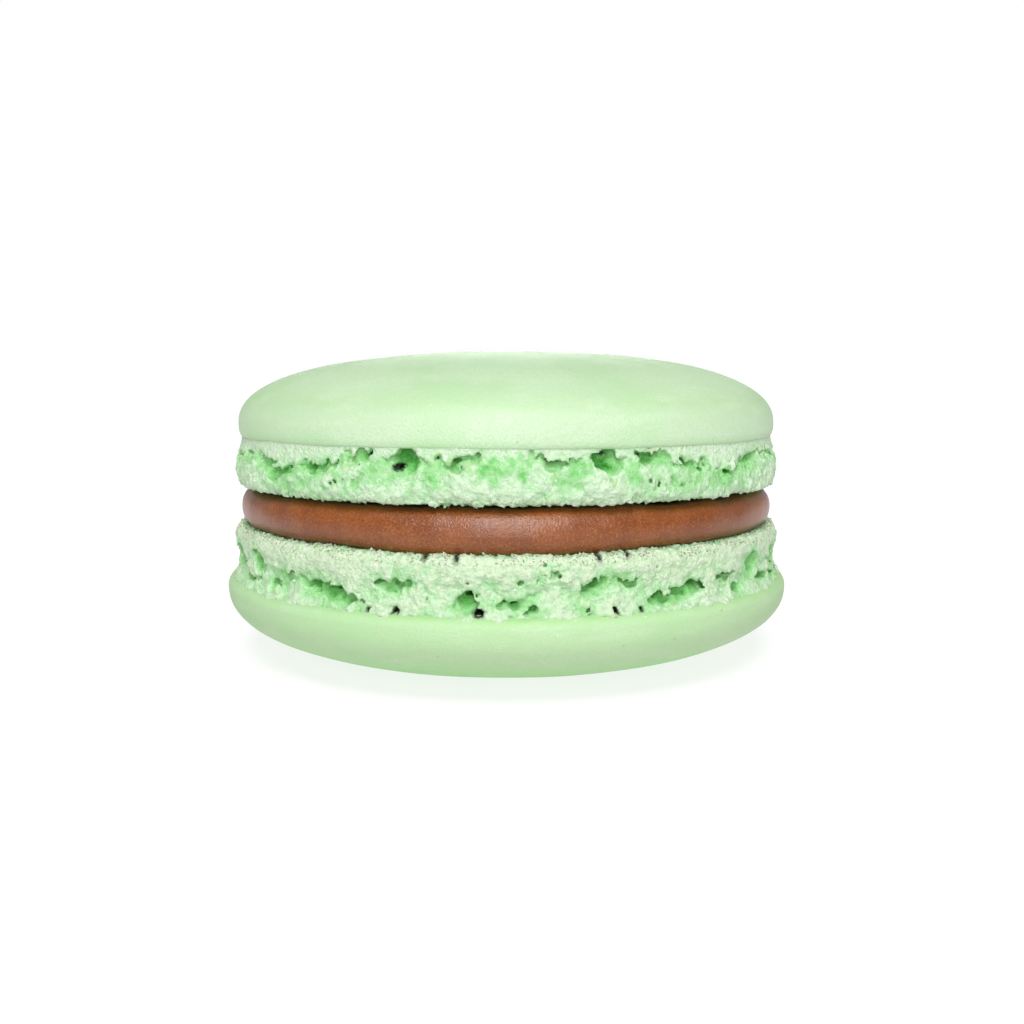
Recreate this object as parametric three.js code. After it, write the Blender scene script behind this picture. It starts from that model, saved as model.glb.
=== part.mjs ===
// A French macaron: two baked almond-meringue shells, each a smooth dome with a ruffled foot, and a
// chocolate ganache filling between them.
//
// Millimetres, +Z up. The origin is the middle of the flat spot that the bottom shell rests on, and -Y is the
// front. Angles round the axis are measured from the front, positive towards +X.

import * as THREE from "three";

// ---- Driving sizes ----------------------------------------------------------------------------------------

const AROUND = 120; // facets round the axis

// A dome runs from its pole to its widest. plan and side are the exponents of its rounded-square curve across
// and up, where 2 is an ellipse. Past the widest, its lip turns in to the foot.
const BOTTOM_DOME = {
  radius: 23.0,
  height: 6.1,
  plan: 2.8,
  side: 2.35,
  flat: 7.5, // radius of the spot that it rests on
  lip: { height: 0.45, depth: 0.8 },
};
const TOP_DOME = {
  radius: 21.8,
  height: 5.75,
  plan: 2.35,
  side: 2.3,
  flat: 0,
  lip: { height: 0.9, depth: 0.2 },
};

// A foot's widest radius, and the radius of its rim, where it meets the filling.
const FOOT_HEIGHT = 4.2;
const BOTTOM_FOOT = { radius: 22.45, rim: 21.6 };
const TOP_FOOT = { radius: 22.15, rim: 20.5 };
const RIM_ROUND = 0.32; // share of the foot's height that rounds in to the rim

const FILLING = { thickness: 2.8, radius: 21.5, edge: 20.5 };

// The foot's ruffle is rows of round puffs. Waves of different counts make them uneven. climb is how far a
// wave's phase moves from the foot's bottom to its top, in radians.
const PUFF_DEPTH = 0.32;
const PUFF_WAVES = [
  { count: 23, part: 0.45, turn: 0.4, climb: 2.6 },
  { count: 37, part: 0.33, turn: 2.1, climb: -3.4 },
  { count: 14, part: 0.22, turn: 4.0, climb: 1.7 },
];

// The hollows torn in each foot lie in pairs, left and right of the front. at is the angle from the front in
// degrees, up the share of the foot's height, wide and high the hollow's half size, and deep its depth.
const BOTTOM_HOLLOWS = [
  { at: 42, up: 0.38, wide: 2.6, high: 0.9, deep: 1.5 },
  { at: 24, up: 0.52, wide: 1.3, high: 0.7, deep: 1.1 },
  { at: 74, up: 0.45, wide: 1.4, high: 0.8, deep: 0.8 },
  { at: 105, up: 0.5, wide: 2.2, high: 0.8, deep: 1.1 },
  { at: 140, up: 0.4, wide: 1.7, high: 0.8, deep: 1.3 },
];
const TOP_HOLLOWS = [
  { at: 23, up: 0.8, wide: 1.2, high: 0.7, deep: 1.4 },
  { at: 10, up: 0.68, wide: 1.3, high: 0.6, deep: 1.0 },
  { at: 47, up: 0.6, wide: 1.5, high: 0.6, deep: 0.9 },
  { at: 88, up: 0.6, wide: 2.0, high: 0.7, deep: 1.0 },
  { at: 128, up: 0.55, wide: 2.2, high: 0.7, deep: 1.1 },
];

const DOME_STEPS = 7;
const FOOT_STEPS = 8;
const FILLING_STEPS = 5;

const SHELL_COLOUR = 0xc9ecc2;
const FILLING_COLOUR = 0x96583c;

// ---- Heights that follow from the sizes -------------------------------------------------------------------

const BOTTOM_FOOT_BASE = BOTTOM_DOME.height + BOTTOM_DOME.lip.height;
const FILLING_BASE = BOTTOM_FOOT_BASE + FOOT_HEIGHT;
const TOP_FOOT_BASE = FILLING_BASE + FILLING.thickness;
const CROWN = TOP_FOOT_BASE + FOOT_HEIGHT + TOP_DOME.lip.height + TOP_DOME.height;

// ---- Profiles, as (radius, height) points from the pole up ------------------------------------------------

function domeCurve({ radius, height, plan, side, flat }) {
  const riseAt = (turn) => 1 - Math.cos(turn) ** (2 / side);
  const start = Math.asin((flat / radius) ** (plan / 2));
  const points = [];
  for (let i = 0; i <= DOME_STEPS; i++) {
    const turn = start + (i / DOME_STEPS) * (Math.PI / 2 - start);
    const out = Math.sin(turn) ** (2 / plan);
    const rise = (riseAt(turn) - riseAt(start)) / (1 - riseAt(start));
    points.push(new THREE.Vector2(radius * out, height * rise));
  }
  return points;
}

// The foot's wall swells out from its neck at the lip (share 0), and rounds in to its rim (share 1).
function footRadius({ radius, rim }, neck, share) {
  const swell = Math.min(share / (1 - RIM_ROUND), 1);
  const wall = neck + (radius - neck) * Math.sin((swell * Math.PI) / 2);
  const pastWall = THREE.MathUtils.clamp((share - (1 - RIM_ROUND)) / RIM_ROUND, 0, 1);
  return rim + (wall - rim) * Math.sqrt(1 - pastWall ** 2);
}

function shellProfile(dome, foot) {
  const neck = dome.radius - dome.lip.depth;
  const footBase = dome.height + dome.lip.height;
  const points = domeCurve(dome);
  if (dome.flat > 0) points.unshift(new THREE.Vector2(0, 0));
  for (let i = 0; i <= FOOT_STEPS; i++) {
    const share = i / FOOT_STEPS;
    points.push(new THREE.Vector2(footRadius(foot, neck, share), footBase + share * FOOT_HEIGHT));
  }
  points.push(new THREE.Vector2(0, footBase + FOOT_HEIGHT));
  return points;
}

function fillingProfile({ thickness, radius, edge }) {
  const points = [new THREE.Vector2(0, 0)];
  for (let i = 0; i <= FILLING_STEPS; i++) {
    const up = i / FILLING_STEPS;
    const bulge = Math.sqrt(1 - (2 * up - 1) ** 2);
    points.push(new THREE.Vector2(edge + (radius - edge) * bulge, up * thickness));
  }
  points.push(new THREE.Vector2(0, thickness));
  return points;
}

// ---- Relief on the foot -----------------------------------------------------------------------------------

function puffRelief(angle, up) {
  let sum = 0;
  for (const { count, part, turn, climb } of PUFF_WAVES) {
    sum += part * Math.cos(count * angle + turn + climb * up);
  }
  return PUFF_DEPTH * sum;
}

function hollowDepth(hollows, angle, up, radius) {
  let depth = 0;
  for (const hollow of hollows) {
    for (const side of [-1, 1]) {
      const away = angle - side * THREE.MathUtils.degToRad(hollow.at);
      const turn = Math.atan2(Math.sin(away), Math.cos(away));
      const across = (turn * radius) / hollow.wide;
      const along = ((up - hollow.up) * FOOT_HEIGHT) / hollow.high;
      depth = Math.max(depth, hollow.deep * Math.exp(-(across ** 2 + along ** 2)));
    }
  }
  return depth;
}

// Moves the wall's vertices in and out. The relief fades out where the foot meets the lip and the filling.
function ruffleFoot(geometry, footBase, hollows) {
  const position = geometry.getAttribute("position");
  for (let i = 0; i < position.count; i++) {
    const x = position.getX(i);
    const y = position.getY(i);
    const radius = Math.hypot(x, y);
    const up = (position.getZ(i) - footBase) / FOOT_HEIGHT;
    if (radius === 0 || up <= 0 || up >= 1) continue;
    const angle = Math.atan2(x, -y);
    const fade = 1 - (2 * up - 1) ** 4;
    const relief = fade * (puffRelief(angle, up) - hollowDepth(hollows, angle, up, radius));
    const stretch = 1 + relief / radius;
    position.setXY(i, x * stretch, y * stretch);
  }
}

// ---- Solids -----------------------------------------------------------------------------------------------

// Turns a profile round the axis, with +Z up.
function turned(profile) {
  return new THREE.LatheGeometry(profile, AROUND).rotateX(Math.PI / 2);
}

function namedMesh(name, geometry, material) {
  const mesh = new THREE.Mesh(geometry, material);
  mesh.name = name;
  return mesh;
}

function bottomShell(material) {
  const geometry = turned(shellProfile(BOTTOM_DOME, BOTTOM_FOOT));
  ruffleFoot(geometry, BOTTOM_FOOT_BASE, BOTTOM_HOLLOWS);
  return namedMesh("bottom_shell", geometry, material);
}

// The top shell's profile is worked out from its pole, as the bottom one's is, and then turned upside down.
function topShell(material) {
  const fromPole = shellProfile(TOP_DOME, TOP_FOOT);
  const upsideDown = fromPole.map(({ x, y }) => new THREE.Vector2(x, CROWN - y)).reverse();
  const geometry = turned(upsideDown);
  ruffleFoot(geometry, TOP_FOOT_BASE, TOP_HOLLOWS);
  return namedMesh("top_shell", geometry, material);
}

function filling(material) {
  const mesh = namedMesh("filling", turned(fillingProfile(FILLING)), material);
  mesh.position.z = FILLING_BASE;
  return mesh;
}

const meringue = new THREE.MeshStandardMaterial({ color: SHELL_COLOUR, roughness: 0.65, metalness: 0 });
const ganache = new THREE.MeshStandardMaterial({ color: FILLING_COLOUR, roughness: 0.5, metalness: 0 });

const macaron = new THREE.Group();
macaron.add(bottomShell(meringue), filling(ganache), topShell(meringue));

export default macaron;
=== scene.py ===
"""A French macaron: two mint-green meringue shells with porous feet, and a ganache filling between them."""

import math
import random

import bpy
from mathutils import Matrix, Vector, noise


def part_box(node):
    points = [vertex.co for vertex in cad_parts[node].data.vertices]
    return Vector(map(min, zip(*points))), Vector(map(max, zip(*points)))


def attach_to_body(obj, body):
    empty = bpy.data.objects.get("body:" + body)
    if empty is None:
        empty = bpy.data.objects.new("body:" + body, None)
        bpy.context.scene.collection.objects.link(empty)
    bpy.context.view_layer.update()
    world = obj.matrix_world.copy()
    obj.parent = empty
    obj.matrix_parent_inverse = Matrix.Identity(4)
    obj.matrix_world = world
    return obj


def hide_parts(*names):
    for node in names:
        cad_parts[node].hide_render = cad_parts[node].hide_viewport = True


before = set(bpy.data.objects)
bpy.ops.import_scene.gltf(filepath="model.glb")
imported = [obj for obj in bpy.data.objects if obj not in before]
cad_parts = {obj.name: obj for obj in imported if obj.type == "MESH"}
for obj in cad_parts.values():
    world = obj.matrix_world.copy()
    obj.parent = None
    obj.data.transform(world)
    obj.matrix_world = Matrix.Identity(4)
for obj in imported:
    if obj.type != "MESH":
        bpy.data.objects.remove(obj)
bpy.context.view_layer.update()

# ---- Sizes, in millimetres -------------------------------------------------------------------------------
#
# Angles are degrees round the axis from the front, positive towards +X. Heights are above the table.

MM = 0.001


def node_span(name):
    """A CAD node's radius, and its lowest and highest height."""
    low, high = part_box(name)
    return high.x / MM, low.z / MM, high.z / MM


BOTTOM_RADIUS, TABLE, FILLING_BASE = node_span("bottom_shell")
FILLING_RADIUS, _, FILLING_TOP = node_span("filling")
CROWN = node_span("top_shell")[2]

FOOT_HEIGHT = 4.2
BOTTOM_FOOT_BASE = FILLING_BASE - FOOT_HEIGHT
TOP_FOOT_TOP = FILLING_TOP + FOOT_HEIGHT
WALL_RADIUS = 22.0  # about where a foot's wall is
CORE_RADIUS = 18.6  # where a foot's hidden inner wall is
TUCK = 0.4  # how far a foot reaches into its dome
TOP_RADIUS = BOTTOM_RADIUS - 1.15  # the top shell is a little narrower
DOME_HEIGHT = 5.75  # from a dome's pole to its widest

# A dome's curve is a rounded square with the exponents plan across and side up, where 2 is an ellipse. It
# starts at a level spot with the radius flat. Past its widest it turns in by lip_depth over lip_height, as a
# quarter of a rounded square with the exponent lip_bend.
TOP_DOME = {"radius": TOP_RADIUS, "height": DOME_HEIGHT, "plan": 2.42, "side": 2.3, "flat": 0,
            "lip_height": 1.05, "lip_depth": 0.42, "lip_bend": 2.2}
BOTTOM_DOME = {"radius": BOTTOM_RADIUS, "height": DOME_HEIGHT, "plan": 2.8, "side": 2.35, "flat": 7.5,
               "lip_height": 0.85, "lip_depth": 0.9, "lip_bend": 2}

# A foot's wall, as (share of the foot's height from its lower edge, radius).
TOP_WALL = [
    (0, 21.35), (0.05, 21.7), (0.16, 22.0), (0.3, 22.15), (0.5, 22.1),
    (0.75, 21.8), (0.9, 21.62), (1, 21.55),
]
BOTTOM_WALL = [(0, 22.5), (0.14, 22.2), (0.35, 22.05), (0.6, 22.2), (0.8, 22.3), (0.93, 22.1), (1, 21.6)]

# The crevice round the upper foot, where its crumb has torn from the mantle of skin under the dome: how far
# from the front, and there the height of the mantle's ragged edge above the foot's lower edge, and the gap.
# Where the gap is below 0, the crumb and the mantle run into each other.
CREVICE = [
    (0, 4.0, -0.7), (3, 3.9, -0.6), (5, 3.65, 0.1), (7, 3.7, 0.2), (10, 3.3, 0.1), (13, 3.4, 0.0),
    (16, 3.7, 0.3), (18, 4.0, 0.7), (20, 3.8, 0.2), (23, 3.5, -0.2), (25, 3.7, 0.0), (27, 4.0, 0.4),
    (31, 3.6, 0.1),
    (35, 3.0, 0.2), (39, 2.9, 0.3), (43, 2.7, -0.1), (47, 2.6, 0.0), (51, 3.0, 0.3), (57, 3.2, 0.1),
    (64, 3.5, 0.0), (74, 3.0, 0.2), (86, 3.6, -0.2), (100, 3.0, 0.4), (116, 3.5, -0.1), (132, 2.9, 0.4),
    (150, 3.6, 0.0), (165, 3.2, 0.4), (180, 3.5, 0.0),
]

# Hollows torn in a foot: angle, height above the foot's lower edge, half width, half height, depth, tilt and
# side, which is -1 for the left of the front, 1 for its right and 0 for both.
TOP_HOLLOWS = [
    (18.0, 3.6, 0.75, 0.55, 1.8, 0, -1),
    (25.2, 3.4, 0.6, 0.22, 1.4, -45, 0),
    (18.6, 3.95, 0.55, 0.28, 1.3, 10, 1),
    (4.6, 3.6, 0.3, 0.28, 1.2, 0, 0),
    (8.9, 3.15, 0.45, 0.34, 1.4, 25, 0),
    (11.9, 3.35, 0.3, 0.25, 1.2, 20, 0),
    (15.6, 3.45, 0.3, 0.2, 0.8, 0, 0),
    (24.7, 3.1, 0.3, 0.24, 1.0, 0, 0),
    (34.5, 3.0, 0.27, 0.24, 1.1, 0, 0),
    (38.3, 2.4, 0.5, 0.35, 1.3, 0, 0),
    (40.3, 2.9, 0.24, 0.24, 1.1, 0, 0),
    (32.3, 1.5, 0.8, 0.25, 0.3, -20, 0),
    (27.6, 1.6, 0.7, 0.28, 0.3, -35, 0),
    (46.0, 2.1, 1.1, 0.25, 0.8, -15, 0),
    (55.0, 2.7, 1.0, 0.4, 0.8, 20, 0),
]
BOTTOM_HOLLOWS = [
    (84.0, 1.6, 1.2, 1.0, 1.3, 0, 0),
    (72.0, 1.9, 2.2, 1.0, 1.2, 0, 0),
    (56.0, 2.1, 1.0, 1.1, 0.9, 0, 0),
    (61.0, 0.7, 1.5, 0.4, 1.1, 0, 0),
    (49.5, 0.5, 0.7, 0.5, 1.1, 0, 0),
    (45.0, 1.6, 1.2, 0.5, 0.7, 0, 0),
    (38.0, 1.2, 1.2, 0.5, 1.0, 0, 0),
    (33.5, 0.9, 2.2, 0.6, 1.3, 10, -1),
    (33.5, 0.9, 2.2, 0.6, 0.8, 10, 1),
    (28.7, 0.6, 0.9, 0.5, 1.2, 0, 0),
    (19.5, 1.75, 1.2, 0.5, 0.8, -12, -1),
    (22.5, 1.95, 0.6, 0.35, 0.9, 0, -1),
    (15.5, 1.75, 1.3, 0.6, 0.85, 20, 1),
    (22.3, 1.95, 0.8, 0.45, 0.8, 0, 1),
    (6.4, 0.85, 0.85, 0.7, 1.5, -35, -1),
    (0.6, 0.7, 0.45, 0.28, 1.3, 0, -1),
    (1.8, 0.65, 0.7, 0.4, 1.2, 0, 1),
    (4.8, 0.2, 0.5, 0.25, 1.0, 0, 1),
    (8.3, 2.7, 0.42, 0.28, 1.3, -8, 1),
    (2.5, 2.2, 0.2, 0.18, 0.45, 0, 0),
    (5.9, 2.35, 0.2, 0.18, 0.45, 0, 0),
    (14.6, 0.25, 0.1, 0.5, 0.5, 15, 0),
]

# Small deep pits, in the same form, whose ends are painted near black as shade.
TOP_PITS = [
    (19.4, 2.85, 0.3, 0.2, 2.4, 0, -1),
    (17.8, 3.85, 0.35, 0.16, 1.4, -10, 1),
]
BOTTOM_PITS = [
    (19.4, 0.22, 0.2, 0.34, 2.6, 25, 0),
    (24.7, 0.2, 0.15, 0.13, 1.2, -20, 0),
    (4.5, 0.28, 0.34, 0.24, 2.6, 0, -1),
    (14.0, 4.1, 0.14, 0.34, 0.6, 15, -1),
    (8.5, 4.0, 0.13, 0.34, 0.6, -15, -1),
    (16.4, 4.0, 0.13, 0.34, 0.6, 15, 1),
    (22.1, 4.1, 0.14, 0.34, 0.6, -15, 1),
]

# ---- Node graphs -----------------------------------------------------------------------------------------


def pick(sockets, key):
    """A node's socket by its index, its identifier or its name."""
    if isinstance(key, int):
        return sockets[key]
    for socket in sockets:
        if socket.identifier == key:
            return socket
    return sockets[key]


class Wire:
    """A node's output. Arithmetic on wires adds Math nodes, or Vector Math nodes where one is a vector."""

    def __init__(self, graph, socket):
        self.graph = graph
        self.socket = socket

    def output(self, key):
        return Wire(self.graph, pick(self.socket.node.outputs, key))

    def __add__(self, other):
        return self.graph.calculate("ADD", self, other)

    def __radd__(self, other):
        return self.graph.calculate("ADD", other, self)

    def __sub__(self, other):
        return self.graph.calculate("SUBTRACT", self, other)

    def __rsub__(self, other):
        return self.graph.calculate("SUBTRACT", other, self)

    def __mul__(self, other):
        return self.graph.calculate("MULTIPLY", self, other)

    def __rmul__(self, other):
        return self.graph.calculate("MULTIPLY", other, self)

    def __truediv__(self, other):
        return self.graph.calculate("DIVIDE", self, other)


class Graph:
    """Adds nodes to a shader tree or a geometry tree."""

    def __init__(self, tree):
        self.tree = tree

    def node(self, kind, settings=None, inputs=None, output=0):
        made = self.tree.nodes.new(kind)
        for key, value in (settings or {}).items():
            if key == "stops":
                set_stops(made.color_ramp, value)
            elif key == "points":
                set_points(made.mapping, value)
            else:
                setattr(made, key, value)
        for key, value in (inputs or {}).items():
            self.feed(pick(made.inputs, key), value)
        return Wire(self, pick(made.outputs, output)) if made.outputs else made

    def feed(self, socket, value):
        if isinstance(value, Wire):
            self.tree.links.new(value.socket, socket)
        elif isinstance(value, list):
            for wire in value:
                self.tree.links.new(wire.socket, socket)
        elif socket.type == "VECTOR" and isinstance(value, (int, float)):
            socket.default_value = (value, value, value)
        elif socket.type == "RGBA":
            socket.default_value = (*value[:3], 1)
        else:
            socket.default_value = value

    def calculate(self, operation, *values):
        vector = any(isinstance(v, (tuple, Vector)) or (isinstance(v, Wire) and v.socket.type == "VECTOR")
                     for v in values)
        kind = "ShaderNodeVectorMath" if vector else "ShaderNodeMath"
        return self.node(kind, {"operation": operation}, dict(enumerate(values)))

    def least(self, first, *others):
        for other in others:
            first = self.calculate("MINIMUM", first, other)
        return first

    def length(self, vector):
        return self.node("ShaderNodeVectorMath", {"operation": "LENGTH"}, {0: vector}, "Value")

    def clamp(self, value):
        return self.node("ShaderNodeClamp", None, {"Value": value})

    def blend(self, share, first, second):
        """A colour that is first where share is 0, and second where it is 1."""
        return self.node("ShaderNodeMix", {"data_type": "RGBA"},
                         {"Factor_Float": share, "A_Color": first, "B_Color": second}, "Result_Color")

    def ease(self, value, start, end, low=0.0, high=1.0):
        """Runs smoothly from low to high as value goes from start to end."""
        return self.node("ShaderNodeMapRange", {"interpolation_type": "SMOOTHSTEP"},
                         {"Value": value, "From Min": start, "From Max": end, "To Min": low, "To Max": high})

    def clouds(self, place, size, detail=2.0, roughness=0.5, output="Fac"):
        """Fractal noise whose lumps are about size across."""
        inputs = {"Vector": place, "Scale": 1 / size, "Detail": detail, "Roughness": roughness}
        return self.node("ShaderNodeTexNoise", None, inputs, output)

    def cells(self, place, size, feature="F1", output="Distance"):
        """Voronoi cells about size across."""
        return self.node("ShaderNodeTexVoronoi", {"feature": feature}, {"Vector": place, "Scale": 1 / size},
                         output)

    def by_depth(self, depth, stops):
        """A colour ramp over a depth, with its stops at (depth, colour)."""
        deepest = stops[-1][0]
        ramp = [(place / deepest, colour) for place, colour in stops]
        return self.node("ShaderNodeValToRGB", {"stops": ramp}, {"Fac": depth / deepest}, "Color")


def set_stops(ramp, stops):
    while len(ramp.elements) < len(stops):
        ramp.elements.new(1)
    for element, (position, colour) in zip(ramp.elements, stops):
        element.position = position
        element.color = (*colour, 1)


def set_points(mapping, points):
    curve = mapping.curves[0]
    while len(curve.points) < len(points):
        curve.points.new(1, 1)
    for point, location in zip(curve.points, points):
        point.location = location
    mapping.update()


# ---- Feet: crumb grown as a volume -----------------------------------------------------------------------
#
# A foot is grown as a straight slab, then bent round the axis. In the slab x runs round the wall, y inwards
# from it and z up. Patterns are worked out at the bent place, so they meet where the slab's ends do.

VOXEL = 0.13
SOFT_EDGE = 0.22  # half the thickness over which the volume's density falls from 1 to 0
SLAB_PROUD = 1.1  # how far the slab reaches out of the wall
SLAB_MARGIN = 0.7  # and above and below the foot
CORE_MARGIN = 0.3  # and inwards past the core
GIRTH = math.tau * WALL_RADIUS

MOUND = 2.6  # how wide the mounds, the lumps and the grains of the crumb are
LUMP = 0.95
GRAIN = 0.42

BACK_START = 68  # where the hollows of the sides and the back start on the right
BACK_END = 288  # and where they end on the left
SEAM_MARGIN = 6  # and how far they keep from where the slab's ends meet

MERGED_WITHIN = 0.001  # points nearer than this become one
SMALLEST_ISLAND = 20000  # a separate part of the mesh with fewer points than this is deleted
DOME_HIDES = 21.5  # inside this radius the dome hides what reaches into it
FILLING_HIDES = 20.7  # inside this one the filling hides a foot's edge
FOOT_TRIANGLES = 190000


def along(angle):
    """How far round the wall an angle in degrees is."""
    return math.radians(angle) * WALL_RADIUS


def both_sides(hollows):
    """Hollows with side 0 become two, and the others go to their own side."""
    placed = []
    for angle, up, wide, high, deep, tilt, side in hollows:
        for way in ((-1, 1) if side == 0 else (side,)):
            placed.append((way * angle, up, wide, high, deep, tilt * way))
    return placed


def back_hollows(seed, count, lowest, highest):
    """Hollows like the front's, for the sides and the back."""
    rng = random.Random(seed)
    hollows = []
    for i in range(count):
        angle = BACK_START + (BACK_END - BACK_START) * (i + rng.random()) / count
        angle = angle if angle < 180 else angle - 360
        if abs(angle) > 180 - SEAM_MARGIN:
            continue
        size = rng.random() ** 2
        up = rng.uniform(lowest, highest)
        wide = 0.2 + 1.2 * size
        high = 0.16 + 0.4 * size * rng.random()
        deep = rng.uniform(0.6, 1.9)
        tilt = rng.uniform(-35, 35)
        hollows.append((angle, up, wide, high, deep, tilt))
    return hollows


def bent(graph, slab):
    """A slab place's radius, and where it is round the axis."""
    turn = slab.output("X") / WALL_RADIUS
    radius = WALL_RADIUS - slab.output("Y")
    x = radius * graph.calculate("SINE", turn)
    y = (0 - radius) * graph.calculate("COSINE", turn)
    return radius, graph.node("ShaderNodeCombineXYZ", None, {"X": x, "Y": y, "Z": slab.output("Z")})


def along_curve(graph, share, points):
    """A smooth curve through points of (share from 0 to 1, value)."""
    low = min(value for _, value in points)
    high = max(value for _, value in points)
    scaled = [(place, (value - low) / (high - low)) for place, value in points]
    curve = graph.node("ShaderNodeFloatCurve", {"points": scaled}, {"Value": share})
    return low + (high - low) * curve


def crevice_distance(graph, slab, place, up, inwards, wander, crevice):
    """How far a slab place is outside the crevice, and how much greener and darker the crumb is coloured
    below the mantle's edge, partly its moister crumb and partly painted shade under the mantle.

    The crevice's roof is level and its floor slopes up inwards, so its mouth is wider than its end. It is
    deeper where the gap is wide, and round lobes of crumb stand up from its floor. Where there is no gap,
    the painted shade and greener tint fade in below the edge and are stronger.
    """
    turn = graph.calculate("PINGPONG", slab.output("X") / (GIRTH / 2), 1)
    edge = along_curve(graph, turn, [(angle / 180, height) for angle, height, _ in crevice]) + wander
    gap = along_curve(graph, turn, [(angle / 180, width) for angle, _, width in crevice])
    gap = gap + 1.2 * (graph.clouds(place, 1.7, 1, 0.5) - 0.5)
    deep = 0.35 + 1.1 * gap
    lobes = 0.8 * (0.42 - graph.cells(place, 1.1))
    floor = edge - gap + lobes - graph.calculate("MAXIMUM", deep - inwards, 0)
    sides = graph.calculate("MAXIMUM", up - edge, floor - up)
    distance = graph.calculate("MAXIMUM", sides, inwards - deep)
    fade = 0.1 + graph.calculate("MAXIMUM", 0 - 1.4 * gap, 0)
    below = edge - up
    # Painted shade under the mantle's edge, together with the crumb's greener colour there.
    green = graph.ease(below, 2.7, 0.3) * graph.ease(below, -0.1, fade) * graph.ease(gap, -0.4, 0.1, 1.0, 0.3)
    return distance, green * graph.ease(graph.clouds(place, 0.6, 2, 0.6), 0.3, 0.7, 0.35, 1.45)


def crumb_relief(graph, place, sizes):
    """Mounds, lumps and grains, in millimetres out of the wall."""
    mounds = 0.42 - graph.cells(place, MOUND, "SMOOTH_F1")
    lumps = 0.38 - graph.cells(place, LUMP)
    grains = 0.38 - graph.cells(place, GRAIN)
    rough = graph.clouds(place, 0.35, 2, 0.6) - 0.5
    return sizes["Mound depth"] * mounds + sizes["Lump depth"] * (0.8 * lumps + 0.5 * grains + 0.8 * rough)


def pit_distance(graph, place):
    """How far a place is outside the nearest of the tiny bubbles. A cell whose radius is below 0 has none."""
    size = 1.1
    drawn = graph.node("ShaderNodeSeparateXYZ", None, {"Vector": graph.cells(place, size, "F1", "Color")})
    radius = 0.3 * drawn.output("X") - 0.1
    return graph.cells(place, size) * size - radius


def hollow_distance(graph, place, base, hollows):
    """How far a slab place is outside the nearest hollow, in millimetres."""
    nearest = 10.0
    for angle, up, wide, high, deep, tilt in hollows:
        away = place - Vector((along(angle), 0, base + up))
        if tilt:
            away = graph.node("ShaderNodeVectorRotate", {"rotation_type": "Y_AXIS"},
                              {"Vector": away, "Angle": math.radians(tilt)})
        least = min(wide, high)
        stretched = graph.length(away * (least / wide, least / deep, least / high))
        nearest = graph.least(stretched - least, nearest)
    return nearest


def volume_mesh(graph, density, base):
    """The slab's surface. It runs a little past the girth, where both ends hold the same crumb."""
    cells_round = round(GIRTH / VOXEL)
    step = GIRTH / cells_round
    extra_before = 2
    extra_after = 3
    inner = WALL_RADIUS - CORE_RADIUS + CORE_MARGIN
    low = Vector((-GIRTH / 2 - extra_before * step, -SLAB_PROUD, base - SLAB_MARGIN))
    high = Vector((GIRTH / 2 + extra_after * step, inner, base + FOOT_HEIGHT + SLAB_MARGIN))
    volume = graph.node("GeometryNodeVolumeCube", None, {
        "Density": density,
        "Min": low * MM,
        "Max": high * MM,
        "Resolution X": cells_round + extra_before + extra_after + 1,
        "Resolution Y": round((high.y - low.y) / VOXEL) + 1,
        "Resolution Z": round((high.z - low.z) / VOXEL) + 1,
    })
    mesh = graph.node("GeometryNodeVolumeToMesh", {"resolution_mode": "GRID"},
                      {"Volume": volume, "Threshold": 0.5, "Adaptivity": 0.0})
    x = graph.node("ShaderNodeSeparateXYZ", None, {"Vector": graph.node("GeometryNodeInputPosition")})
    before = graph.calculate("LESS_THAN", x, -GIRTH / 2 * MM)
    after = graph.calculate("GREATER_THAN", x, (GIRTH / 2 + step) * MM)
    return graph.node("GeometryNodeDeleteGeometry", {"domain": "POINT"},
                      {"Geometry": mesh, "Selection": before + after})


def without_islands(graph, mesh, smallest):
    """Deletes loose crumbs and shut bubbles, which have fewer points than smallest."""
    island = graph.node("GeometryNodeInputMeshIsland", output="Island Index")
    points = graph.node("GeometryNodeAccumulateField", {"data_type": "INT", "domain": "POINT"},
                        {"Value": 1, "Group ID": island}, "Total")
    loose = graph.calculate("LESS_THAN", points, smallest)
    return graph.node("GeometryNodeDeleteGeometry", {"domain": "POINT"},
                      {"Geometry": mesh, "Selection": loose})


def stored(graph, mesh, name, value):
    return graph.node("GeometryNodeStoreNamedAttribute", {"data_type": "FLOAT", "domain": "POINT"},
                      {"Geometry": mesh, "Name": name, "Value": value})


def edge_bits(graph, mesh, mask, sizes):
    """Tiny crumbs that stand on the mesh where the mask is 1."""
    spots = graph.node("GeometryNodeDistributePointsOnFaces", {"distribute_method": "RANDOM"}, {
        "Mesh": mesh,
        "Density": sizes["Bits per mm2"] * mask / MM ** 2,
        "Seed": 7,
    })
    bit = graph.node("GeometryNodeMeshIcoSphere", None, {"Radius": MM, "Subdivisions": 1})
    size = graph.node("FunctionNodeRandomValue", {"data_type": "FLOAT_VECTOR"},
                      {"Min": (0.05, 0.05, 0.08), "Max": (0.13, 0.13, 0.28), "Seed": 11})
    turn = graph.node("FunctionNodeRandomValue", {"data_type": "FLOAT_VECTOR"},
                      {"Min": (0, 0, 0), "Max": (math.tau, math.tau, math.tau), "Seed": 13})
    bits = graph.node("GeometryNodeInstanceOnPoints", None,
                      {"Points": spots, "Instance": bit, "Rotation": turn, "Scale": size})
    return graph.node("GeometryNodeRealizeInstances", None, {"Geometry": bits})


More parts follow.
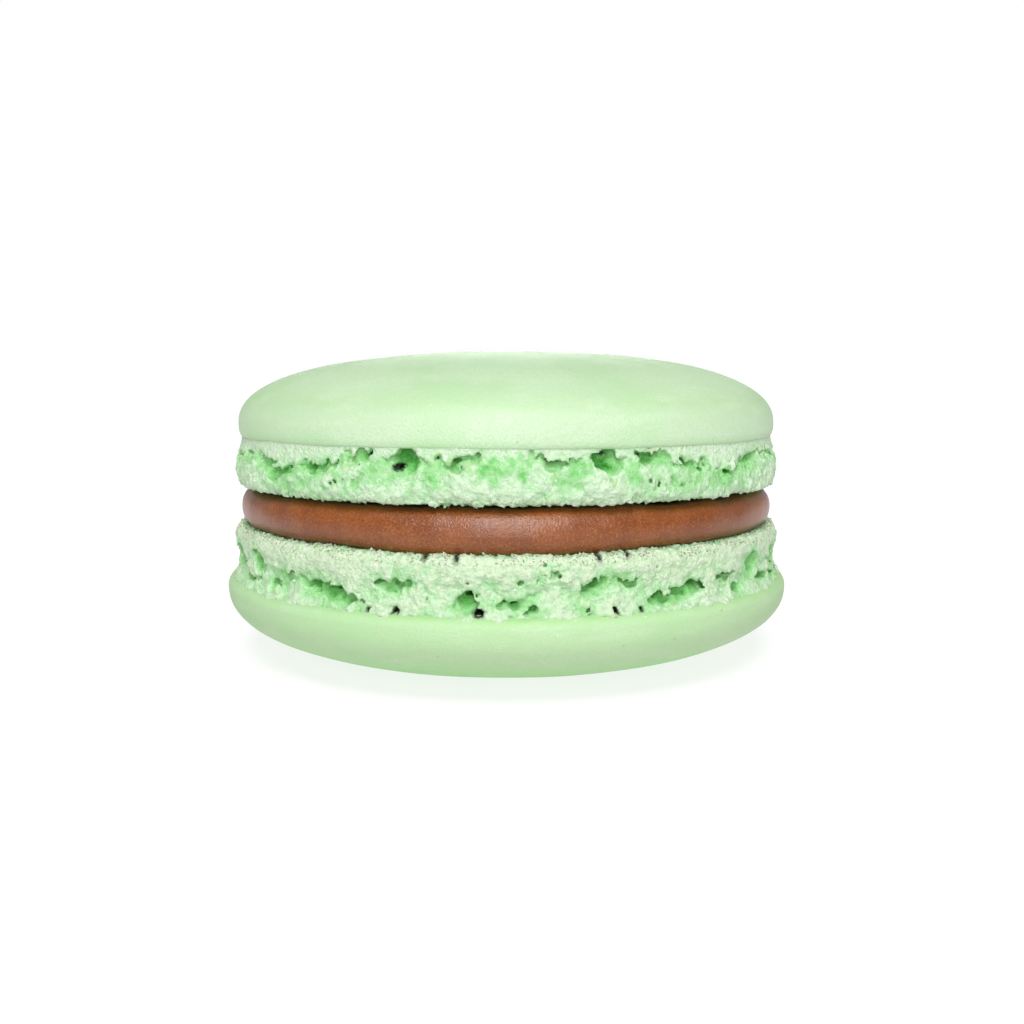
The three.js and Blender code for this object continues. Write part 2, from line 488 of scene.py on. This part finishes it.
def foot_tree(name, base, wall, crevice, hollows, pits, dome_side, material):
    """One foot's geometry tree. dome_side is 1 where the dome is above the foot, and -1 where it is below."""
    tree = bpy.data.node_groups.new(name, "GeometryNodeTree")
    tree.interface.new_socket("Geometry", in_out="OUTPUT", socket_type="NodeSocketGeometry")
    labels = ("Base", "Height", "Core radius", "Mound depth", "Lump depth", "Bits per mm2", "Seed")
    for label in labels:
        tree.interface.new_socket(label, in_out="INPUT", socket_type="NodeSocketFloat")
    graph = Graph(tree)
    given = graph.node("NodeGroupInput")
    sizes = {label: given.output(label) for label in labels}

    position = graph.node("GeometryNodeInputPosition") * (1 / MM)
    slab = graph.node("ShaderNodeSeparateXYZ", None, {"Vector": position})
    radius, place = bent(graph, slab)
    seeded = place + sizes["Seed"]
    up = slab.output("Z") - sizes["Base"]
    share = up / sizes["Height"]
    to_dome = sizes["Height"] - up if dome_side > 0 else up
    to_filling = up if dome_side > 0 else sizes["Height"] - up

    smooth_wall = along_curve(graph, graph.clamp(share), wall)
    if dome_side > 0:
        calm = graph.ease(to_dome, 0.3, 1.6, 0.1, 1)
    else:
        calm = graph.ease(to_filling, 0.5, 2.0, 0.35, 1)
    outside = smooth_wall + calm * crumb_relief(graph, seeded, sizes) - radius
    ragged = 1.1 * (graph.clouds(seeded, 0.4, 2, 0.65) - 0.5)
    ragged = ragged + 0.4 * (graph.clouds(seeded, 1.6, 1, 0.5) - 0.5)
    lifted = graph.ease(radius, 19.5, 20.5, 0, 0.32) if dome_side > 0 else 0
    at_filling = to_filling - 0.1 - lifted + graph.ease(radius, 20.0, 21.0) * ragged
    crumb = graph.least(outside, at_filling, to_dome + TUCK, radius - sizes["Core radius"])

    coarse = graph.clouds(seeded, 0.8, 1, 0.5, "Color") - (0.5, 0.5, 0.5)
    fine = graph.clouds(seeded, 0.28, 1, 0.5, "Color") - (0.5, 0.5, 0.5)
    inwards = smooth_wall - radius
    risen = position - graph.node("ShaderNodeCombineXYZ", None, {"Z": 0.5 * inwards})
    torn = hollow_distance(graph, risen + 0.9 * coarse + 0.35 * fine, base, hollows)
    elsewhere = seeded + 5.0  # so that these cells don't line up with the relief's
    torn = torn + 0.55 * (graph.cells(elsewhere, 0.7) - 0.45)
    # Greener and darker round the hollows, partly the crumb's moister colour and partly painted shade leading
    # into them.
    moist_and_shaded = graph.ease(torn, 1.1, 0.0, 0, 0.24)
    if crevice:
        shift = graph.node("ShaderNodeSeparateXYZ", None, {"Vector": 0.9 * coarse + 0.7 * fine})
        wander = shift - 0.7 * graph.cells(elsewhere, 0.75) + 0.3
        gap, green = crevice_distance(graph, slab, seeded, up, inwards, wander, crevice)
        torn = graph.least(torn, gap)
        moist_and_shaded = graph.calculate("MAXIMUM", moist_and_shaded, green)
    pitted = hollow_distance(graph, position + 0.4 * fine, base, pits)
    torn = graph.least(torn, pitted)
    crumb = graph.least(crumb, torn, pit_distance(graph, seeded))

    mesh = volume_mesh(graph, graph.clamp(0.5 + crumb / (2 * SOFT_EDGE)), base)
    # depth sets the crumb's colour, which darkens and turns greener with it: partly the crumb's own colour,
    # partly painted shade.
    mesh = stored(graph, mesh, "depth", graph.least(inwards + moist_and_shaded, to_filling + 0.25))
    mesh = stored(graph, mesh, "tear", torn)
    # Where the crumb is painted near black as shade, at the ends of deep pits.
    mesh = stored(graph, mesh, "pit", graph.ease(pitted, 0.14, 0.04) * graph.ease(inwards, -0.3, 0.4))
    mesh = graph.node("GeometryNodeSetPosition", None, {"Geometry": mesh, "Position": place * MM})
    mesh = graph.node("GeometryNodeMergeByDistance", None,
                      {"Geometry": mesh, "Distance": MERGED_WITHIN * MM})
    mesh = without_islands(graph, mesh, SMALLEST_ISLAND)

    bent_place = graph.node("ShaderNodeSeparateXYZ", None, {"Vector": position})
    height = bent_place.output("Z") - sizes["Base"]
    from_filling = height if dome_side > 0 else sizes["Height"] - height
    reach = graph.length(position * (1, 1, 0))
    mask = graph.ease(from_filling, 0.35, 0.1) * graph.ease(reach, FILLING_HIDES, FILLING_HIDES + 0.3)
    bits = edge_bits(graph, mesh, mask, sizes)
    mesh = graph.node("GeometryNodeJoinGeometry", None, {"Geometry": [mesh, bits]})
    mesh = graph.node("GeometryNodeSetShadeSmooth", None, {"Geometry": mesh, "Shade Smooth": True})
    mesh = graph.node("GeometryNodeRealizeInstances", None, {"Geometry": mesh})
    mesh = graph.node("GeometryNodeSetMaterial", None, {"Geometry": mesh, "Material": material})
    graph.node("NodeGroupOutput", None, {"Geometry": mesh})
    return tree


def plain_mesh(piece, modifier):
    """Turns a modifier's result into the piece's own mesh, and removes the modifier."""
    evaluated = piece.evaluated_get(bpy.context.evaluated_depsgraph_get())
    mesh = bpy.data.meshes.new_from_object(evaluated)
    mesh.name = piece.name
    piece.modifiers.remove(modifier)
    piece.data = mesh


def grown(name, tree, sizes):
    """A new piece whose plain mesh a geometry tree makes from its sizes."""
    piece = bpy.data.objects.new(name, bpy.data.meshes.new(name + "_seed"))
    bpy.context.scene.collection.objects.link(piece)
    modifier = piece.modifiers.new("grow", "NODES")
    modifier.node_group = tree
    for item in tree.interface.items_tree:
        if item.in_out == "INPUT" and item.name in sizes:
            modifier[item.identifier] = sizes[item.name]
    plain_mesh(piece, modifier)
    return piece


def thin_hidden(piece, base, dome_side, most):
    """Thins the faces that the dome and the filling hide, until the piece has about most triangles."""
    near = 0.3  # this near to the filling or to the core counts as against it
    shown_weight = 0.1  # a face that shows is thinned less than a hidden one, whose weight is 1
    hidden = piece.vertex_groups.new(name="hidden")
    for vertex in piece.data.vertices:
        radius = math.hypot(vertex.co.x, vertex.co.y) / MM
        up = vertex.co.z / MM - base
        to_dome = FOOT_HEIGHT - up if dome_side > 0 else up
        in_dome = to_dome < 0 and radius < DOME_HIDES
        at_filling = FOOT_HEIGHT - to_dome < near and radius < FILLING_HIDES
        unseen = in_dome or at_filling or radius < CORE_RADIUS + near
        hidden.add([vertex.index], 1 if unseen else shown_weight, "REPLACE")
    triangles = sum(len(face.vertices) - 2 for face in piece.data.polygons)
    modifier = piece.modifiers.new("thin", "DECIMATE")
    modifier.ratio = min(1, most / triangles)
    modifier.vertex_group = hidden.name
    modifier.vertex_group_factor = 10
    plain_mesh(piece, modifier)
    piece.vertex_groups.clear()


# ---- Turned pieces ---------------------------------------------------------------------------------------


AROUND = 360  # points round a turned piece
DIP_DEPTH = 0.09  # how deep the dips in a dome are


def turned(name, profile, around, unevenness, material):
    """A closed mesh of revolution. profile holds (radius, height) from the bottom pole to the top one."""
    rings = profile[1:-1]
    points = []
    for index, (radius, height) in enumerate(rings):
        before = profile[index]
        after = profile[index + 2]
        normal = Vector((after[1] - before[1], before[0] - after[0])).normalized()
        for i in range(around):
            turn = math.tau * i / around
            spot = Vector((math.sin(turn) * radius, -math.cos(turn) * radius, height))
            out = unevenness(spot)
            reach = radius + normal.x * out
            points.append((math.sin(turn) * reach * MM, -math.cos(turn) * reach * MM,
                           (height + normal.y * out) * MM))
    faces = []
    for ring in range(len(rings) - 1):
        row = ring * around
        for i in range(around):
            j = (i + 1) % around
            faces.append((row + i, row + j, row + around + j, row + around + i))
    bottom = len(points)
    last = (len(rings) - 1) * around
    points.append((0, 0, profile[0][1] * MM))
    points.append((0, 0, (profile[-1][1] + unevenness(Vector((0, 0, profile[-1][1])))) * MM))
    for i in range(around):
        j = (i + 1) % around
        faces.append((bottom, j, i))
        faces.append((last + i, last + j, bottom + 1))
    mesh = bpy.data.meshes.new(name)
    mesh.from_pydata(points, [], faces)
    mesh.polygons.foreach_set("use_smooth", [True] * len(faces))
    mesh.materials.append(material)
    piece = bpy.data.objects.new(name, mesh)
    bpy.context.scene.collection.objects.link(piece)
    return piece


def dome_profile(radius, height, plan, side, flat, lip_height, lip_depth, lip_bend):
    """From the pole out to the widest and over the lip, as (radius, rise from the pole)."""
    steps = 56
    lip_steps = 12

    def rise_at(turn):
        return 1 - math.cos(turn) ** (2 / side)

    start = math.asin((flat / radius) ** (plan / 2))
    points = [(0, 0)] if flat else []
    for i in range(steps + 1):
        turn = start + i / steps * (math.pi / 2 - start)
        rise = (rise_at(turn) - rise_at(start)) / (1 - rise_at(start))
        points.append((radius * math.sin(turn) ** (2 / plan), height * rise))
    for i in range(1, lip_steps + 1):
        share = i / lip_steps
        turned_in = 1 - (1 - share ** lip_bend) ** (1 / lip_bend)
        points.append((radius - lip_depth * turned_in, height + lip_height * share))
    cap = points[-1][1] + 0.05  # the level end, which the foot hides
    points += [(radius - lip_depth - 1, cap), (radius - lip_depth - 3, cap), (0, cap)]
    return points


def uneven_skin(seed, depth):
    """Slight dips in a dome, which fade out where the shell rests."""
    fade_height = 1.5  # above the table, where the dips have their full depth

    def out(spot):
        shift = Vector((seed, seed, seed))
        broad = noise.noise(spot / 9 + shift) + 0.35 * noise.noise(spot / 3.5 + shift)
        fade = min(1, max(0, spot.z - TABLE) / fade_height)
        return -depth * fade * max(0, 0.4 + 0.8 * broad)
    return out


def filling_profile(thickness, edge, widest):
    """A round-sided belt from its lower pole to its upper one, as (radius, height from its middle)."""
    steps = 40
    fullness = 0.72  # 1 is half an ellipse, and less is fuller
    points = [(0, -thickness / 2)]
    for i in range(steps + 1):
        turn = math.pi * (i / steps - 0.5)
        bulge = max(0, math.cos(turn)) ** fullness
        points.append((edge + (widest - edge) * bulge, thickness / 2 * math.sin(turn)))
    points.append((0, thickness / 2))
    return points


def uneven_belt(spot):
    """The filling's side is slightly wavy. At the front it bulges out, and slopes back towards its top."""
    hidden_radius = 19
    front_width = 24  # degrees to each side over which the bulge fades
    bulge = 0.34
    slope_height = 1.8  # how far below the filling's top the slope starts
    slope_bend = 1.5
    angle = math.degrees(math.atan2(spot.x, -spot.y))
    if math.hypot(spot.x, spot.y) < hidden_radius:
        return 0
    wavy = 0.1 * noise.noise(spot / 4) + 0.03 * noise.noise(spot / 1.2)
    front = math.exp(-(angle / front_width) ** 4)
    upper = max(0, spot.z - FILLING_TOP + slope_height) / slope_height
    back = 0.08 + 0.28 * front + 0.15 * noise.noise(spot / 3)
    return wavy + bulge * front - back * min(1, upper) ** slope_bend


# ---- Materials -------------------------------------------------------------------------------------------


PALE_CRUMB = (0.62, 0.72, 0.57)
GREEN_CRUMB = (0.24, 0.47, 0.20)
TOAST = (0.42, 0.42, 0.17)
SPECK = (0.15, 0.135, 0.05)
# A painted glint, for the sparkle of sugar crystals.
GLINT = (0.80, 0.87, 0.74)
# Painted shade at the ends of deep pits.
PIT_SHADE = (0.004, 0.012, 0.003)
ALMOND = (0.40, 0.38, 0.17)
SUGAR = (0.72, 0.82, 0.66)


def new_material(name, **constants):
    """A material with constant values on its shader's sockets, its graph, and the place in millimetres."""
    material = bpy.data.materials.new(name)
    material.use_nodes = True
    graph = Graph(material.node_tree)
    shader = material.node_tree.nodes["Principled BSDF"]
    for label, value in constants.items():
        shader.inputs[label.replace("_", " ")].default_value = value
    place = graph.node("ShaderNodeTexCoord", output="Object") * (1 / MM)
    return material, graph, shader, place


def spots(graph, place, size, least, most):
    """Scattered spots: 1 at the middle of some cells. least is the share of cells without a spot."""
    width = graph.node("ShaderNodeSeparateXYZ", None, {"Vector": graph.cells(place, size, "F1", "Color")})
    reach = graph.ease(width.output("X"), least, 1.0, 0.0, most)
    return graph.ease(graph.cells(place, size) - reach, 0.0, -0.08)


def bump(graph, height, distance):
    """A normal from a height, where distance is in millimetres."""
    return graph.node("ShaderNodeBump", None, {"Height": height, "Distance": distance * MM, "Strength": 1.0},
                      "Normal")


def height_of(graph, place):
    return graph.node("ShaderNodeSeparateXYZ", None, {"Vector": place}).output("Z")


def crumb_material(name, dry, base, specks):
    """Moist meringue crumb: dry and pale towards the filling, and greener and darker deep down and under the
    mantle, partly the crumb's own colour and partly painted shade, down to near black at the ends of deep
    pits.

    specks is how strong the brown specks near the filling are.
    """
    material, graph, shader, place = new_material(
        name, Specular_IOR_Level=0.5, Subsurface_Weight=0.35, Subsurface_Scale=MM,
        Subsurface_Radius=(0.5, 0.9, 0.45))
    middle = (FILLING_BASE + FILLING_TOP) / 2
    from_filling = graph.calculate("ABSOLUTE", height_of(graph, place) - middle) - (FILLING_TOP - middle)
    depth = graph.node("ShaderNodeAttribute", {"attribute_name": "depth"}, output="Fac")
    tear = graph.node("ShaderNodeAttribute", {"attribute_name": "tear"}, output="Fac")
    pit = graph.node("ShaderNodeAttribute", {"attribute_name": "pit"}, output="Fac")
    broad = graph.clouds(place, 2.2, 3, 0.6)
    fine = graph.clouds(place, 0.3, 3, 0.7)
    surface = graph.blend(graph.ease(from_filling + 2.0 * (broad - 0.5), 0.6, 3.0), dry, base)
    mottled = depth + 0.4 * (broad - 0.5) + 0.5 * (graph.clouds(place, 0.55, 2, 0.6) - 0.5)
    # Greener and darker with depth: partly the crumb's greener inside, partly painted shade that falls to
    # near black deep in the hollows.
    deep = graph.by_depth(mottled, [
        (0.2, (0.37, 0.59, 0.34)),
        (0.5, (0.28, 0.555, 0.245)),
        (0.9, (0.18, 0.49, 0.145)),
        (1.4, (0.065, 0.37, 0.045)),
        (2.2, (0.01, 0.09, 0.007)),
    ])
    colour = graph.blend(graph.ease(mottled, 0.0, 0.4), surface, deep)
    outer = graph.ease(depth, 0.5, 0.2)
    colour = graph.blend(graph.ease(fine, 0.5, 0.7, 0.0, 0.38) * outer, colour, PALE_CRUMB)
    colour = graph.blend(graph.ease(fine, 0.48, 0.34, 0.0, 0.5), colour, GREEN_CRUMB)
    toasted = graph.ease(tear, 0.16, 0.04) * outer * graph.ease(graph.clouds(place, 1.1), 0.48, 0.62)
    colour = graph.blend(0.4 * toasted, colour, TOAST)
    elsewhere = place + 7.0  # so that the pores don't line up with the other patterns
    pores = graph.ease(graph.clouds(elsewhere, 0.17, 2, 0.6), 0.57, 0.63)
    pores = pores * graph.ease(from_filling, 1.0, 0.5) * outer
    pores = pores * graph.ease(graph.clouds(elsewhere, 1.2), 0.4, 0.52)
    colour = graph.blend(specks * pores, colour, SPECK)
    # Painted glints: whiter flecks stand in for the sparkle of sugar crystals, which are also glossier.
    glints = graph.ease(graph.clouds(place, 0.18, 2, 0.7), 0.58, 0.64)
    glints = glints * graph.ease(graph.clouds(place, 1.2), 0.48, 0.62) * graph.ease(depth, 0.9, 0.4)
    colour = graph.blend(0.45 * glints, colour, GLINT)
    # Painted shade: the ends of deep pits are coloured near black.
    colour = graph.blend(0.97 * pit, colour, PIT_SHADE)
    graph.feed(shader.inputs["Base Color"], colour)
    graph.feed(shader.inputs["Roughness"], 0.72 - 0.4 * glints)
    grain = graph.clouds(place, 0.26, 3, 0.65) + 0.6 * graph.clouds(place, 0.7, 2, 0.6)
    grain = grain - 0.4 * graph.cells(place, 0.24) - 0.5 * pores
    graph.feed(shader.inputs["Normal"], bump(graph, grain, 0.16))
    return material


def skin_material(name, gloss, bands, greener, whiter):
    """A shell's baked skin: faintly glossy, finely grained, mottled, and freckled with almond.

    bands holds (height, colour) from the lowest band to the highest.
    """
    material, graph, shader, place = new_material(name, Specular_IOR_Level=gloss)
    height = height_of(graph, place)
    broad = graph.clouds(place, 7.0, 3, 0.55)
    streaks = graph.clouds(place * (0.35, 0.35, 1.6), 1.6, 3, 0.6)
    lowest = bands[0][0]
    wavering = height - lowest + 1.6 * (broad - 0.5)
    colour = graph.by_depth(wavering, [(level - lowest, tone) for level, tone in bands])
    colour = graph.blend(graph.ease(broad, 0.52, 0.35, 0, 0.5), colour, greener)
    colour = graph.blend(graph.ease(streaks, 0.48, 0.7, 0.0, 0.45), colour, whiter)
    fine = graph.clouds(place, 0.16, 1, 0.5)
    colour = graph.blend(graph.ease(fine, 0.4, 0.6, 0.0, 0.5), colour, greener)
    freckles = spots(graph, place, 0.9, 0.6, 0.13)
    colour = graph.blend(0.5 * freckles, colour, ALMOND)
    elsewhere = place + 3.1  # so that the pale spots don't line up with the freckles
    pale = spots(graph, elsewhere, 0.6, 0.55, 0.13)
    colour = graph.blend(0.5 * pale, colour, SUGAR)
    graph.feed(shader.inputs["Base Color"], colour)
    graph.feed(shader.inputs["Roughness"], 0.48 + 0.16 * fine)
    relief = fine + 1.2 * graph.clouds(place, 1.5, 2, 0.5) - freckles
    graph.feed(shader.inputs["Normal"], bump(graph, relief, 0.045))
    return material


def ganache_material():
    """Milk-chocolate ganache: soft, faintly grained, with a satin gloss."""
    material, graph, shader, place = new_material("ganache", Specular_IOR_Level=0.52)
    broad = graph.clouds(place, 3.0, 3, 0.6)
    fine = graph.clouds(place, 0.14, 2, 0.6)
    colour = graph.blend(graph.ease(broad, 0.35, 0.65), (0.165, 0.042, 0.008), (0.225, 0.062, 0.011))
    colour = graph.blend(graph.ease(fine, 0.51, 0.72, 0.0, 0.6), colour, (0.34, 0.13, 0.045))
    colour = graph.blend(graph.ease(fine, 0.47, 0.3, 0.0, 0.6), colour, (0.10, 0.025, 0.007))
    graph.feed(shader.inputs["Base Color"], colour)
    graph.feed(shader.inputs["Roughness"], 0.26 + 0.12 * fine)
    relief = fine + 1.5 * graph.clouds(place, 1.2, 2, 0.5)
    graph.feed(shader.inputs["Normal"], bump(graph, relief, 0.045))
    return material


def floor_material():
    """A white light table, which glows a little so that shadows stay soft."""
    material, graph, shader, place = new_material(
        "light_table", Roughness=0.9, Specular_IOR_Level=0.0, Emission_Strength=0.78)
    shader.inputs["Emission Color"].default_value = (1, 1, 1, 1)
    faint = graph.clouds(place, 40.0, 2, 0.5)
    graph.feed(shader.inputs["Base Color"], graph.blend(faint, (0.23, 0.23, 0.23), (0.25, 0.25, 0.25)))
    return material


# ---- Pieces ----------------------------------------------------------------------------------------------


def attach(piece, node):
    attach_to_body(piece, "root")
    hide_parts(node)


def build_feet():
    top_crumb = crumb_material("top_crumb", (0.485, 0.625, 0.44), (0.48, 0.62, 0.435), specks=0.3)
    bottom_crumb = crumb_material("bottom_crumb", (0.51, 0.61, 0.435), (0.47, 0.60, 0.41), specks=0.75)
    top_hollows = both_sides(TOP_HOLLOWS) + back_hollows(seed=5, count=20, lowest=1.4, highest=3.4)
    bottom_hollows = both_sides(BOTTOM_HOLLOWS) + back_hollows(seed=8, count=46, lowest=0.3, highest=2.4)
    top_pits = both_sides(TOP_PITS)
    bottom_pits = both_sides(BOTTOM_PITS)
    feet = (
        ("top", FILLING_TOP, TOP_WALL, CREVICE, top_hollows, top_pits, 1, 3.7, top_crumb),
        ("bottom", BOTTOM_FOOT_BASE, BOTTOM_WALL, None, bottom_hollows, bottom_pits, -1, 41.3, bottom_crumb),
    )
    for shell, base, wall, crevice, hollows, pits, dome_side, seed, crumb in feet:
        tree = foot_tree(shell + "_foot_crumb", base, wall, crevice, hollows, pits, dome_side, crumb)
        foot = grown(shell + "_foot", tree, {
            "Base": base,
            "Height": FOOT_HEIGHT,
            "Core radius": CORE_RADIUS,
            "Mound depth": 0.65,
            "Lump depth": 0.42,
            "Bits per mm2": 3.0,
            "Seed": seed,
        })
        thin_hidden(foot, base, dome_side, FOOT_TRIANGLES)
        attach(foot, shell + "_shell")


def build_domes():
    # Besides the shell's own tone, the top skin's bands paint light: the paler bands low on the side and at
    # the crown are partly painted highlight and sheen, and the darker band midway is partly painted shade.
    # The band at the lip is greener.
    top_skin = skin_material("top_skin", 0.65, [
        (TOP_FOOT_TOP, (0.43, 0.61, 0.37)),
        (TOP_FOOT_TOP + 0.6, (0.48, 0.61, 0.43)),
        (TOP_FOOT_TOP + 1.6, (0.46, 0.58, 0.41)),
        (TOP_FOOT_TOP + 2.8, (0.39, 0.54, 0.325)),
        (TOP_FOOT_TOP + 4.4, (0.46, 0.61, 0.405)),
        (CROWN - 0.5, (0.465, 0.635, 0.41)),
    ], (0.37, 0.57, 0.305), (0.51, 0.64, 0.46))
    # Besides the shell's own tone, the bottom skin's bands paint shade: much greener and darker towards the
    # table. They are also greener where the foot sits on the dome.
    bottom_skin = skin_material("bottom_skin", 0.2, [
        (TABLE, (0.13, 0.66, 0.08)),
        (TABLE + 1.6, (0.29, 0.59, 0.215)),
        (TABLE + 3.6, (0.41, 0.54, 0.335)),
        (BOTTOM_FOOT_BASE - 0.4, (0.38, 0.54, 0.31)),
        (BOTTOM_FOOT_BASE, (0.32, 0.53, 0.23)),
    ], (0.33, 0.54, 0.27), (0.46, 0.58, 0.40))
    from_crown = dome_profile(**TOP_DOME)
    profile = [(radius, CROWN - rise) for radius, rise in reversed(from_crown)]
    top = turned("top_dome", profile, AROUND, uneven_skin(2.0, DIP_DEPTH), top_skin)
    attach(top, "top_shell")
    from_table = dome_profile(**BOTTOM_DOME)
    bottom = turned("bottom_dome", from_table, AROUND, uneven_skin(9.0, DIP_DEPTH), bottom_skin)
    attach(bottom, "bottom_shell")


def build_filling():
    pressed = 0.12  # how far the filling is pressed into each shell's crumb
    edge = 20.3  # the radius where its rounded side starts, between the feet
    widest = FILLING_RADIUS + 0.2
    middle = (FILLING_BASE + FILLING_TOP) / 2
    profile = filling_profile(FILLING_TOP - FILLING_BASE + 2 * pressed, edge, widest)
    profile = [(radius, middle + rise) for radius, rise in profile]
    belt = turned("filling_belt", profile, AROUND, uneven_belt, ganache_material())
    attach(belt, "filling")


# ---- Studio ----------------------------------------------------------------------------------------------

CAMERA_DISTANCE = 100.0
CAMERA_ELEVATION = 6.746
CAMERA_TARGET = (0.46, 0, 11.0)
FOCAL_PIXELS = 1186.1
PICTURE_PIXELS = 1024
SENSOR = 36.0
NEAREST_SEEN = 10.0
FARTHEST_SEEN = 20000.0
FLOOR_REACH = 3000.0  # from the middle to each side


def camera():
    data = bpy.data.cameras.new("camera")
    data.sensor_width = SENSOR
    data.lens = FOCAL_PIXELS / PICTURE_PIXELS * SENSOR
    data.clip_start = NEAREST_SEEN * MM
    data.clip_end = FARTHEST_SEEN * MM
    holder = bpy.data.objects.new("camera", data)
    bpy.context.scene.collection.objects.link(holder)
    tilt = math.radians(CAMERA_ELEVATION)
    target = Vector(CAMERA_TARGET)
    holder.location = (target + CAMERA_DISTANCE * Vector((0, -math.cos(tilt), math.sin(tilt)))) * MM
    holder.rotation_euler = (math.pi / 2 - tilt, 0, 0)
    bpy.context.scene.camera = holder


def far_softbox(name, side, elevation, width, strength):
    """Light from a patch of sky that is width degrees across. side is -1 for the front and 1 for the back."""
    data = bpy.data.lights.new(name, "SUN")
    data.angle = math.radians(width)
    data.energy = strength * math.pi
    light = bpy.data.objects.new(name, data)
    tilt = math.radians(elevation)
    towards = Vector((0, side * math.cos(tilt), math.sin(tilt)))
    light.rotation_euler = towards.to_track_quat("Z", "Y").to_euler()
    bpy.context.scene.collection.objects.link(light)


def floor():
    mesh = bpy.data.meshes.new("floor")
    reach = FLOOR_REACH * MM
    corners = [(-reach, -reach, 0), (reach, -reach, 0), (reach, reach, 0), (-reach, reach, 0)]
    mesh.from_pydata(corners, [], [(0, 1, 2, 3)])
    mesh.materials.append(floor_material())
    piece = bpy.data.objects.new("floor", mesh)
    bpy.context.scene.collection.objects.link(piece)


def white_room():
    """A room that looks white and lights the macaron more from its walls than from its ceiling."""
    room = bpy.data.worlds.new("white_room")
    room.use_nodes = True
    room.node_tree.nodes.clear()
    graph = Graph(room.node_tree)
    direction = graph.node("ShaderNodeTexCoord", output="Generated")
    parts = graph.node("ShaderNodeSeparateXYZ", None, {"Vector": direction})
    aside = graph.calculate("ABSOLUTE", parts.output("X"))
    strength = graph.ease(parts.output("Z"), 0.17, 0.64, 0.48, 0.38) * graph.ease(aside, 0.6, 1.0, 1.0, 0.45)
    glow = graph.node("ShaderNodeBackground", None, {"Color": (1, 1, 1), "Strength": strength})
    wall = graph.node("ShaderNodeBackground", None, {"Color": (1, 1, 1), "Strength": 1.0})
    seen = graph.node("ShaderNodeLightPath", output="Is Camera Ray")
    mixed = graph.node("ShaderNodeMixShader", None, {0: seen, 1: glow, 2: wall})
    graph.node("ShaderNodeOutputWorld", None, {"Surface": mixed})
    bpy.context.scene.world = room


camera()
build_feet()
build_domes()
build_filling()
floor()
white_room()
far_softbox("high_softbox", side=-1, elevation=53, width=28, strength=0.85)
far_softbox("low_softbox", side=-1, elevation=17, width=26, strength=0.41)
far_softbox("back_softbox", side=1, elevation=6, width=16, strength=0.25)
bpy.context.scene.view_settings.view_transform = "Standard"
